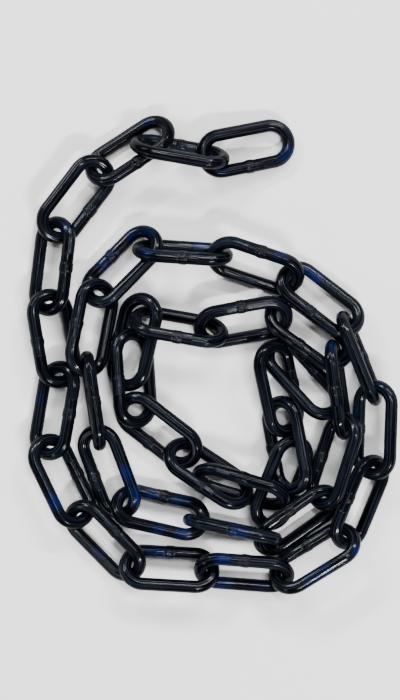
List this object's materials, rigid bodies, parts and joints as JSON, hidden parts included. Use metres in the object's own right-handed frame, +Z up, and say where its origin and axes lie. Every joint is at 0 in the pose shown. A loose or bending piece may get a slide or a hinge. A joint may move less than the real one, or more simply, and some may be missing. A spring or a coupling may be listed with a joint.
{
  "type": "heap of barrier chain",
  "caption": "Length of welded long-link steel chain in black paint, lying in a loose flat spiral heap with both end links free.",
  "frame": {"origin": "centre of the heap in plan, on the floor that it lies on", "axes": "+Z up from the floor, +Y along the heap's longer side towards its outer free end, +X across the heap to the right of +Y seen from above"},
  "size_m": [0.2412, 0.3141, 0.0326],
  "materials": {
    "black_paint": "gloss"
  },
  "bodies": {
    "root": {"link_01": "black_paint", "link_02": "black_paint", "link_03": "black_paint", "link_04": "black_paint", "link_05": "black_paint", "link_06": "black_paint", "link_07": "black_paint", "link_08": "black_paint", "link_09": "black_paint", "link_10": "black_paint", "link_11": "black_paint", "link_12": "black_paint", "link_13": "black_paint", "link_14": "black_paint", "link_15": "black_paint", "link_16": "black_paint", "link_17": "black_paint", "link_18": "black_paint", "link_19": "black_paint", "link_20": "black_paint", "link_21": "black_paint", "link_22": "black_paint", "link_23": "black_paint", "link_24": "black_paint", "link_25": "black_paint", "link_26": "black_paint", "link_27": "black_paint", "link_28": "black_paint", "link_29": "black_paint", "link_30": "black_paint", "link_31": "black_paint", "link_32": "black_paint", "link_33": "black_paint", "link_34": "black_paint", "link_35": "black_paint", "link_36": "black_paint", "link_37": "black_paint", "link_38": "black_paint", "link_39": "black_paint"}
  },
  "joints": []
}
